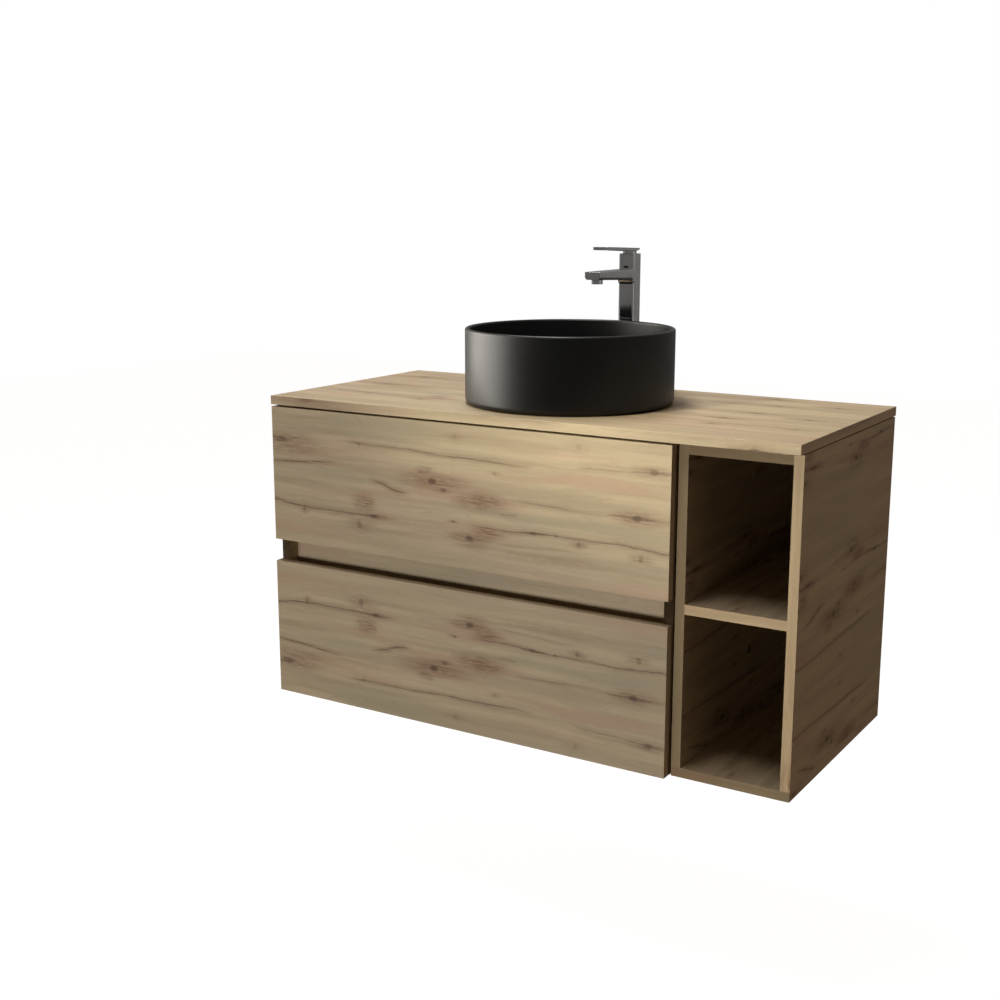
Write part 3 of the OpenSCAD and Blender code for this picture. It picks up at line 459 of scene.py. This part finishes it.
# One look for each material slot of the CAD
LOOKS = {
    "drawer_board": speckled("drawer_laminate", (0.50, 0.49, 0.47), (0.58, 0.57, 0.55), 260.0, 0.50,
                             stretch=(0.15, 0.15, 1.0)),
    "beech": speckled("beech_dowel", (0.58, 0.40, 0.24), (0.66, 0.48, 0.31), 300.0, 0.6),
    "zinc_steel": speckled("zinc_plate", (0.50, 0.51, 0.52), (0.62, 0.63, 0.64), 420.0, 0.32,
                           spread=0.12, metallic=1.0),
    "grey_plastic": speckled("moulded_grey", (0.42, 0.42, 0.41), (0.47, 0.47, 0.46), 1500.0, 0.45),
    "white_plastic": speckled("moulded_white", (0.78, 0.78, 0.76), (0.84, 0.84, 0.82), 700.0, 0.28),
    "pad_rubber": speckled("black_rubber", (0.020, 0.020, 0.020), (0.032, 0.032, 0.032), 1200.0, 0.75),
    "black_ceramic": black_ceramic(),
    "chrome": chrome(),
    "cartridge_plastic": speckled("moulded_ivory", (0.66, 0.63, 0.55), (0.72, 0.69, 0.61), 900.0, 0.4),
    "brass": speckled("turned_brass", (0.62, 0.44, 0.18), (0.72, 0.54, 0.26), 500.0, 0.25,
                      spread=0.1, metallic=1.0),
    "aerator_metal": chrome("satin_chrome", 0.22),
    "dark_plastic": speckled("index_black", (0.014, 0.014, 0.015), (0.026, 0.026, 0.028), 900.0, 0.22),
}


# ---------------------------------------------------------------- making pieces

def add_piece(name, bm, body, material, replaces, smooth_angle=None):
    """Turns a bmesh into a piece that stands for CAD nodes and rides on a body."""
    mesh = bpy.data.meshes.new(name)
    bmesh.ops.recalc_face_normals(bm, faces=bm.faces)
    bm.to_mesh(mesh)
    bm.free()
    piece = bpy.data.objects.new(name, mesh)
    bpy.context.scene.collection.objects.link(piece)
    mesh.materials.append(material)
    if smooth_angle:
        mesh.shade_smooth()
        mesh.set_sharp_from_angle(angle=math.radians(smooth_angle))
        weighted = piece.modifiers.new("weighted_normals", "WEIGHTED_NORMAL")
        weighted.keep_sharp = True
    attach(piece, body)
    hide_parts(*replaces)
    return piece


def ease_edges(bm, edges, radius, segments=3):
    """Rounds the given edges."""
    bmesh.ops.bevel(bm, geom=edges, offset=radius, segments=segments, profile=0.5, affect="EDGES",
                    clamp_overlap=True)


def arc(cu, cv, radius, start, end, steps):
    """Points on an arc, both ends included, angles in degrees."""
    angles = [math.radians(start + (end - start) * i / steps) for i in range(steps + 1)]
    return [(cu + radius * math.cos(a), cv + radius * math.sin(a)) for a in angles]


def skin(bm, ring, following):
    """Faces between two rings with the same number of vertices."""
    for j in range(len(ring)):
        k = (j + 1) % len(ring)
        bm.faces.new((ring[j], following[j], following[k], ring[k]))


def lathe(profile, centre, segments):
    """Closed ring of the (radius, height) profile turned about the vertical through centre."""
    bm = bmesh.new()
    rings = []
    for i in range(segments):
        turn = 2 * math.pi * i / segments
        rings.append([bm.verts.new((centre[0] + r * math.cos(turn), centre[1] + r * math.sin(turn), z))
                      for r, z in profile])
    for i, ring in enumerate(rings):
        skin(bm, ring, rings[(i + 1) % segments])
    return bm


def loft(sections):
    """Closed solid through (Y, section) pairs, each section the same number of (X, Z) points."""
    bm = bmesh.new()
    rings = [[bm.verts.new((x, y, z)) for x, z in section] for y, section in sections]
    for ring, following in zip(rings, rings[1:]):
        skin(bm, ring, following)
    bm.faces.new(rings[0])
    bm.faces.new(list(reversed(rings[-1])))
    return bm


def prism(outline, z_low, z_high):
    """Upright solid over an outline of (X, Y) points, given anticlockwise."""
    bm = bmesh.new()
    lower, upper = ([bm.verts.new((x, y, z)) for x, y in outline] for z in (z_low, z_high))
    bm.faces.new(list(reversed(lower)))
    bm.faces.new(upper)
    for j in range(len(outline)):
        k = (j + 1) % len(outline)
        bm.faces.new((lower[j], lower[k], upper[k], upper[j]))
    return bm


def rounded_section(half, z_low, z_high, low_radius, high_radius, steps=6):
    """(X, Z) points of a rectangle with round corners, one radius for the lower pair and one for
    the upper."""
    limit = 0.48 * (z_high - z_low)
    low_radius, high_radius = min(low_radius, limit), min(high_radius, limit)
    corners = ((1, z_low + low_radius, low_radius, -90), (1, z_high - high_radius, high_radius, 0),
               (-1, z_high - high_radius, high_radius, 90), (-1, z_low + low_radius, low_radius, 180))
    points = []
    for side, z, radius, start in corners:
        points += arc(side * (half - radius), z, radius, start, start + 90, steps)
    return points


def rounded_end(radius, steps=5):
    """(distance from the end, inset) pairs of a quarter circle, from the end inwards."""
    angles = [math.radians(90 * i / steps) for i in range(steps + 1)]
    return [(radius * (1 - math.cos(a)), radius * (1 - math.sin(a))) for a in angles]


def drilled(bm, holes):
    """bm less round holes, each (x, y, radius, lower z, upper z)."""
    cutter = bmesh.new()
    for x, y, radius, z_low, z_high in holes:
        made = bmesh.ops.create_cone(cutter, cap_ends=True, segments=64, radius1=radius, radius2=radius,
                                     depth=z_high - z_low)
        bmesh.ops.translate(cutter, verts=made["verts"], vec=(x, y, (z_low + z_high) / 2))
    scratch = []
    for name, source in (("drill_target", bm), ("drill_cutter", cutter)):
        mesh = bpy.data.meshes.new(name)
        bmesh.ops.recalc_face_normals(source, faces=source.faces)
        source.to_mesh(mesh)
        source.free()
        scratch.append(bpy.data.objects.new(name, mesh))
        bpy.context.scene.collection.objects.link(scratch[-1])
    target, tool = scratch
    cut = target.modifiers.new("cut", "BOOLEAN")
    cut.operation, cut.solver, cut.object = "DIFFERENCE", "EXACT", tool
    result = bmesh.new()
    result.from_mesh(target.evaluated_get(bpy.context.evaluated_depsgraph_get()).to_mesh())
    for leftover in scratch:
        mesh = leftover.data
        bpy.data.objects.remove(leftover)
        bpy.data.meshes.remove(mesh)
    return result


# ---------------------------------------------------------------- oak boards

# The look of each board, by the body it rides on
BOARDS = {
    "cabinet": {
        "countertop": "top", "side_panel_left": "side", "side_panel_right": "side",
        "bottom_panel": "rail", "top_rail_front": "rail", "top_rail_back": "rail",
        "grip_rail": "rail", "open_side_left": "side", "open_side_right": "side",
        "open_top": "shelf", "open_bottom": "shelf", "open_shelf": "shelf", "open_back": "inner",
    },
    "upper_drawer": {"upper_front": "front"},
    "lower_drawer": {"lower_front": "front"},
}
BOARD_EDGE = 0.7 * MM


def eased_board(node, body, look):
    """The CAD board with its planar faces merged and its sharp edges eased."""
    bm = bmesh.new()
    bm.from_mesh(nodes[node].data)
    bmesh.ops.remove_doubles(bm, verts=bm.verts, dist=1e-6)
    bmesh.ops.dissolve_limit(bm, angle_limit=math.radians(0.5), verts=bm.verts, edges=bm.edges)
    sharp = [e for e in bm.edges
             if len(e.link_faces) == 2 and e.calc_face_angle(0.0) > math.radians(40)]
    ease_edges(bm, sharp, BOARD_EDGE)
    return add_piece(node + "_board", bm, body, OAK[look], [node])


for body, boards in BOARDS.items():
    for node, look in boards.items():
        eased_board(node, body, look)


# ---------------------------------------------------------------- basin

# One turned wall with a round rim, a coved floor, a seat for the waste and a foot ring
BASIN_WALL = 8 * MM
RIM_R = 3.5 * MM
LOWER_EDGE_R = 10 * MM
COVE_R = 20 * MM
FLOOR_FALL = 4 * MM             # how far the floor falls from the cove to the waste
FOOT_RING_R = 158 * MM          # inside of the foot ring
FOOT_RING_H = 3 * MM
SEAT_R, SEAT_DEPTH = 34 * MM, 3 * MM
SEAT_RIM_R = 36 * MM
WASTE_BORE_R = 23 * MM

basin_low, basin_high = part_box("vessel_basin")
basin_centre = ((basin_low[0] + basin_high[0]) / 2, (basin_low[1] + basin_high[1]) / 2)
basin_r = (basin_high[0] - basin_low[0]) / 2
foot_z, rim_z = basin_low[2], basin_high[2]
floor_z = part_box("waste_body")[1][2]
inner_r = basin_r - BASIN_WALL
basin_profile = (
    [(FOOT_RING_R, foot_z + FOOT_RING_H), (FOOT_RING_R, foot_z)]
    + arc(basin_r - LOWER_EDGE_R, foot_z + LOWER_EDGE_R, LOWER_EDGE_R, -90, 0, 12)
    + arc(basin_r - RIM_R, rim_z - RIM_R, RIM_R, 0, 90, 8)
    + arc(inner_r + RIM_R, rim_z - RIM_R, RIM_R, 90, 180, 8)
    + arc(inner_r - COVE_R, floor_z + FLOOR_FALL + COVE_R, COVE_R, 0, -90, 12)
    + [(SEAT_RIM_R, floor_z), (SEAT_R, floor_z - SEAT_DEPTH),
       (WASTE_BORE_R, floor_z - SEAT_DEPTH), (WASTE_BORE_R, foot_z + FOOT_RING_H)]
)
add_piece("basin_glazed", lathe(basin_profile, basin_centre, 256), "cabinet",
          LOOKS["black_ceramic"], ["vessel_basin"], smooth_angle=40)


# ---------------------------------------------------------------- mixer

COLUMN_HALF = 16 * MM
COLUMN_EDGE_R = 5.8 * MM
CHAMBER_R = 14.5 * MM
SPOUT_LOW_R, SPOUT_HIGH_R = 5.5 * MM, 1.4 * MM
SPOUT_TIP_H, SPOUT_ROOT_H = 14 * MM, 19 * MM
ARCH_R = 8 * MM                 # hollow arch under the spout, where it meets the column
PLATE_THICK = 6 * MM
NECK_R, NECK_REAR_HALF, NECK_REAR_Y = 13.2 * MM, 11.3 * MM, 4 * MM

body_low, body_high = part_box("faucet_body")
index_low, index_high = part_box("index_plug")
stem_low, stem_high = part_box("lever_stem")
axis_y = (stem_low[1] + stem_high[1]) / 2
spout_top = (index_low[2] + index_high[2]) / 2 - 4 * MM
tip_y = body_low[1]
column_low, column_top = body_low[2], body_high[2]


def faucet_column():
    """Square column with round upright edges, bored for the cartridge, the stud and two hoses."""
    half = COLUMN_HALF
    corners = [(-half, axis_y - half), (half, axis_y - half),
               (half, axis_y + half), (-half, axis_y + half)]
    bm = prism(corners, column_low, column_top)
    upright = [e for e in bm.edges if abs(e.verts[0].co.z - e.verts[1].co.z) > 100 * MM]
    ease_edges(bm, upright, COLUMN_EDGE_R, 8)
    top = [e for e in bm.edges
           if all(abs(v.co.z - column_top) < 1e-6 for v in e.verts) and len(e.link_faces) == 2]
    ease_edges(bm, top, 0.8 * MM)
    chamber_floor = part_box("cartridge")[0][2]
    below = column_low - 1 * MM
    holes = [(0.0, axis_y, CHAMBER_R, chamber_floor, column_top + 10 * MM),
             (0.0, axis_y - 10 * MM, 4.05 * MM, below, column_low + 20 * MM)]
    holes += [(x, axis_y + 3 * MM, 5 * MM, below, column_low + 15 * MM) for x in (-8 * MM, 8 * MM)]
    return drilled(bm, holes)


def faucet_spout():
    """A bar with round lower edges that deepens towards the column and runs into it with an arch."""
    half = COLUMN_HALF - 0.05 * MM
    root_y, inside = axis_y - COLUMN_HALF, axis_y - 4 * MM
    reach = root_y - ARCH_R - tip_y
    deepening = SPOUT_ROOT_H - SPOUT_TIP_H
    places = rounded_end(1.8 * MM) + [(reach * part, 0.0) for part in (0.1, 0.3, 0.5, 0.7, 0.9)]
    sections = []
    for d, inset in places:
        under = spout_top - SPOUT_TIP_H - deepening * d / reach
        section = rounded_section(half - inset, under + inset / 3, spout_top - inset / 3,
                                  SPOUT_LOW_R, SPOUT_HIGH_R)
        sections.append((tip_y + d, section))
    for i in range(9):
        turn = math.radians(90 * i / 8)
        y = root_y - ARCH_R * (1 - math.sin(turn))
        under = spout_top - SPOUT_ROOT_H - ARCH_R * (1 - math.cos(turn))
        sections.append((y, rounded_section(half, under, spout_top, SPOUT_LOW_R, SPOUT_HIGH_R)))
    sections.append((inside, sections[-1][1]))
    aerator_low, aerator_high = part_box("aerator")
    socket = (0.0, (aerator_low[1] + aerator_high[1]) / 2, 10.1 * MM, aerator_low[2],
              aerator_high[2] + 0.5 * MM)
    return drilled(loft(sections), [socket])


def faucet_foot():
    """Round flange at the column's foot."""
    profile = [(18 * MM, column_low), (22.5 * MM, column_low)]
    profile += arc(21.0 * MM, column_low + 3 * MM, 1.5 * MM, 0, 90, 5)
    profile += [(18 * MM, column_low + 4.5 * MM)]
    return lathe(profile, (0.0, axis_y), 96)


def lever_plate():
    """The lever's plate: a flat bar with eased edges that falls towards its heel. Its underside rises
    again behind the neck, so that it clears the column when the lever is lifted."""
    low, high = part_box("lever")
    half, length = (high[0] - low[0]) / 2, high[1] - low[1]
    heel_rise = 3 * MM
    rear_low = column_top + 4 * MM
    rise = high[2] - PLATE_THICK - rear_low
    neck_at = axis_y - 6 * MM - low[1]
    ease = rounded_end(0.8 * MM, 4)
    places = ease + [(neck_at * part, 0.0) for part in (0.1, 0.4, 0.7, 0.95, 1.0)]
    places += [(length - d, inset) for d, inset in reversed(ease)]
    sections = []
    for d, inset in places:
        z_high = rear_low + PLATE_THICK + rise * (1 - d / length)
        if d < neck_at:
            z_low = rear_low + rise * (1 - d / neck_at)
        else:
            z_low = rear_low + heel_rise * (d - neck_at) / (length - neck_at)
        section = rounded_section(half - inset, z_low + inset, z_high - inset, 1.2 * MM, 0.9 * MM)
        sections.append((low[1] + d, section))
    return loft(sections)


def lever_neck():
    """The round neck under the plate: its rear half is narrower, so that it clears the chamber."""
    outline = arc(0.0, axis_y, NECK_R, 180, 360, 32)
    outline += [(side * NECK_REAR_HALF, axis_y + NECK_REAR_Y) for side in (1, -1)]
    return prism(outline, column_top - 3 * MM, column_top + 5 * MM)


for name, make, body, node in (
    ("faucet_column", faucet_column, "cabinet", "faucet_body"),
    ("faucet_spout", faucet_spout, "cabinet", "faucet_body"),
    ("faucet_foot", faucet_foot, "cabinet", "faucet_body"),
    ("lever_plate", lever_plate, "lever", "lever"),
    ("lever_neck", lever_neck, "lever", "lever"),
):
    add_piece(name, make(), body, LOOKS["chrome"], [node], smooth_angle=35)

# every other CAD node keeps its mesh and gets its slot's look
replaced = {"vessel_basin", "faucet_body", "lever"}
replaced.update(node for boards in BOARDS.values() for node in boards)
for part in frame["record"]["subparts"]:
    if part["node"] in replaced:
        continue
    materials = nodes[part["node"]].data.materials
    materials.clear()
    materials.append(LOOKS[part["material_slot"]])


# ---------------------------------------------------------------- floor

FLOOR_Z = -0.34                 # the vanity hangs on the wall, clear of the floor
FLOOR_HALF = 7.0
FLOOR_GLOW = 0.97               # almost as white as the background

bm = bmesh.new()
bmesh.ops.create_grid(bm, x_segments=8, y_segments=8, size=FLOOR_HALF)
floor_mesh = bpy.data.meshes.new("floor")
bm.to_mesh(floor_mesh)
bm.free()
floor = bpy.data.objects.new("floor", floor_mesh)
floor.location = (0.0, 0.0, FLOOR_Z)
floor_material, g, shader = new_material("pale_floor")
cloudy = g.noise(object_point(g), 3.0, 2.0)
g.feed(shader.inputs["Base Color"], g.mix(cloudy, (0.16, 0.16, 0.16), (0.18, 0.18, 0.18)))
shader.inputs["Roughness"].default_value = 0.95
shader.inputs["Specular IOR Level"].default_value = 0.0
shader.inputs["Emission Color"].default_value = (*WHITE, 1.0)
shader.inputs["Emission Strength"].default_value = FLOOR_GLOW
floor_mesh.materials.append(floor_material)
floor.visible_diffuse = False
floor.visible_glossy = False
bpy.context.scene.collection.objects.link(floor)


# ---------------------------------------------------------------- lights

def add_lamp(name, light, place, target, watts, colour):
    """Puts a light at a place, aimed at a target."""
    light.energy = watts
    light.color = colour
    lamp = bpy.data.objects.new(name, light)
    lamp.location = place
    lamp.rotation_euler = (Vector(target) - Vector(place)).to_track_quat("-Z", "Y").to_euler()
    bpy.context.scene.collection.objects.link(lamp)
    return lamp


def area_light(name, place, target, size, watts, colour=WHITE):
    """A rectangular light; size is its width and height in metres."""
    light = bpy.data.lights.new(name, "AREA")
    light.shape = "RECTANGLE"
    light.size, light.size_y = size
    return add_lamp(name, light, place, target, watts, colour)


def spot_light(name, place, target, angle, watts, colour=WHITE):
    """A spot with a soft edge; angle is its cone in degrees."""
    light = bpy.data.lights.new(name, "SPOT")
    light.spot_size = math.radians(angle)
    light.spot_blend = 1.0
    light.shadow_soft_size = 0.12
    return add_lamp(name, light, place, target, watts, colour)


def link_light(lamp, names, state="INCLUDE"):
    """Makes a lamp light only the named objects (INCLUDE), or all but them (EXCLUDE)."""
    group = bpy.data.collections.new(lamp.name + "_receivers")
    for name in names:
        group.objects.link(bpy.data.objects[name])
    for member in group.collection_objects:
        member.light_linking.link_state = state
    lamp.light_linking.receiver_collection = group


MIXER = ["faucet_column", "faucet_spout", "faucet_foot", "lever_plate", "lever_neck", "aerator"]
FRONTS = ["upper_front_board", "lower_front_board", "grip_rail_board"]
BASIN = ["basin_glazed"]
WORKTOP = ["countertop_board"]
BRIGHT_EDGES = ["open_side_right_board", "open_shelf_board"]
DIM_EDGES = ["open_side_left_board", "open_top_board", "open_bottom_board"]
FRONT_Y = -0.23
EDGE_X = 0.40                   # middle of the open unit
ACCENT_COLOUR = (1.0, 0.95, 0.73)
EDGE_COLOUR = (1.0, 0.90, 0.74)

# general light from above
area_light("overhead", (-0.3, -0.10, 2.3), (-0.1, 0.0, 0.55), (2.2, 0.5), 35.0, (1.0, 0.985, 0.96))

# the long highlight on the basin's left, and a weak fill for everything else on that side
softbox = area_light("left_softbox", (-2.3, -0.85, 0.95), (0.0, -0.05, 0.5), (2.5, 1.8), 134.0,
                     (1.0, 0.95, 0.87))
link_light(softbox, BASIN)
left_fill = area_light("left_fill", (-2.6, -0.2, 0.9), (-0.5, 0.0, 0.25), (1.5, 1.5), 15.0,
                       (1.0, 0.97, 0.92))
link_light(left_fill, MIXER + FRONTS + BASIN, "EXCLUDE")

# the fronts, and the front edges of the open unit
front_fill = area_light("front_fill", (-0.4, -3.2, 0.15), (-0.1, FRONT_Y, 0.25), (2.0, 0.4), 48.0,
                        (1.0, 0.98, 0.95))
link_light(front_fill, FRONTS + WORKTOP)
for name, boards, watts in (("bright_edges", BRIGHT_EDGES, 64.0), ("dim_edges", DIM_EDGES, 26.0)):
    edge_fill = area_light(name, (EDGE_X, -3.2, -0.05), (EDGE_X, FRONT_Y, 0.25), (0.2, 0.2), watts,
                           EDGE_COLOUR)
    link_light(edge_fill, boards)

# a strip at each side for the chrome to mirror
for side in (-1, 1):
    strip = area_light("mixer_strip", (side * 2.2, 0.15, 0.8), (0.0, 0.15, 0.7), (0.35, 1.6), 1.4)
    link_light(strip, MIXER)

# two warm patches on the upper front and the worktop
for name, place, target, angle, watts in (
    ("accent_right", (-0.7, -2.2, 1.5), (0.33, FRONT_Y, 0.60), 18.0, 162.0),
    ("accent_middle", (-0.9, -2.2, 1.5), (-0.06, FRONT_Y, 0.66), 15.0, 135.0),
):
    spot = spot_light(name, place, target, angle, watts, ACCENT_COLOUR)
    link_light(spot, ["upper_front_board"] + WORKTOP)


# ---------------------------------------------------------------- surroundings

SOFT_LIGHT = (0.300, 0.218, 0.150)
MIRRORED_GREY = (1.0, 0.98, 0.96)

world = bpy.data.worlds.new("studio")
bpy.context.scene.world = world
world.use_nodes = True
w = Graph(world.node_tree)
sky = next(n for n in world.node_tree.nodes if n.type == "BACKGROUND")
path = w.add("ShaderNodeLightPath").outputs
dir_x, dir_y, dir_z = w.split(w.add("ShaderNodeTexCoord").outputs["Generated"])
# diffuse light: warm, and weaker from the front
soft = w.sub(1.0, w.mul(w.remap(dir_y, 0.6, -1.0), 0.95))
diffuse = w.mix(soft, BLACK, SOFT_LIGHT)
# mirrored surroundings: grey, dark below, brighter at the back
height = w.sum(w.remap(dir_z, -0.40, 0.02, 0.045, 0.235), w.remap(dir_z, 0.10, 0.60, 0.0, 0.22))
grey = w.mul(height, w.sum(0.92, w.mul(dir_x, 0.04), w.mul(dir_y, 0.12)))
glossy = w.mix(grey, BLACK, MIRRORED_GREY)
# the camera sees plain white
surroundings = w.mix(path["Is Glossy Ray"], diffuse, glossy)
w.feed(sky.inputs["Color"], w.mix(path["Is Camera Ray"], surroundings, WHITE))


# ---------------------------------------------------------------- camera

CAMERA_PLACE = (1.1859, -2.1429, 0.8990)
CAMERA_DOWN = 11.989            # degrees below the horizon
CAMERA_TURN = 32.036            # degrees to the left of straight ahead

camera_data = bpy.data.cameras.new("camera")
camera_data.lens = 50.47
camera_data.sensor_width = 36.0
camera = bpy.data.objects.new("camera", camera_data)
camera.location = CAMERA_PLACE
camera.rotation_euler = (math.radians(90 - CAMERA_DOWN), 0.0, math.radians(CAMERA_TURN))
bpy.context.scene.collection.objects.link(camera)
bpy.context.scene.camera = camera
bpy.context.scene.view_settings.view_transform = "Standard"
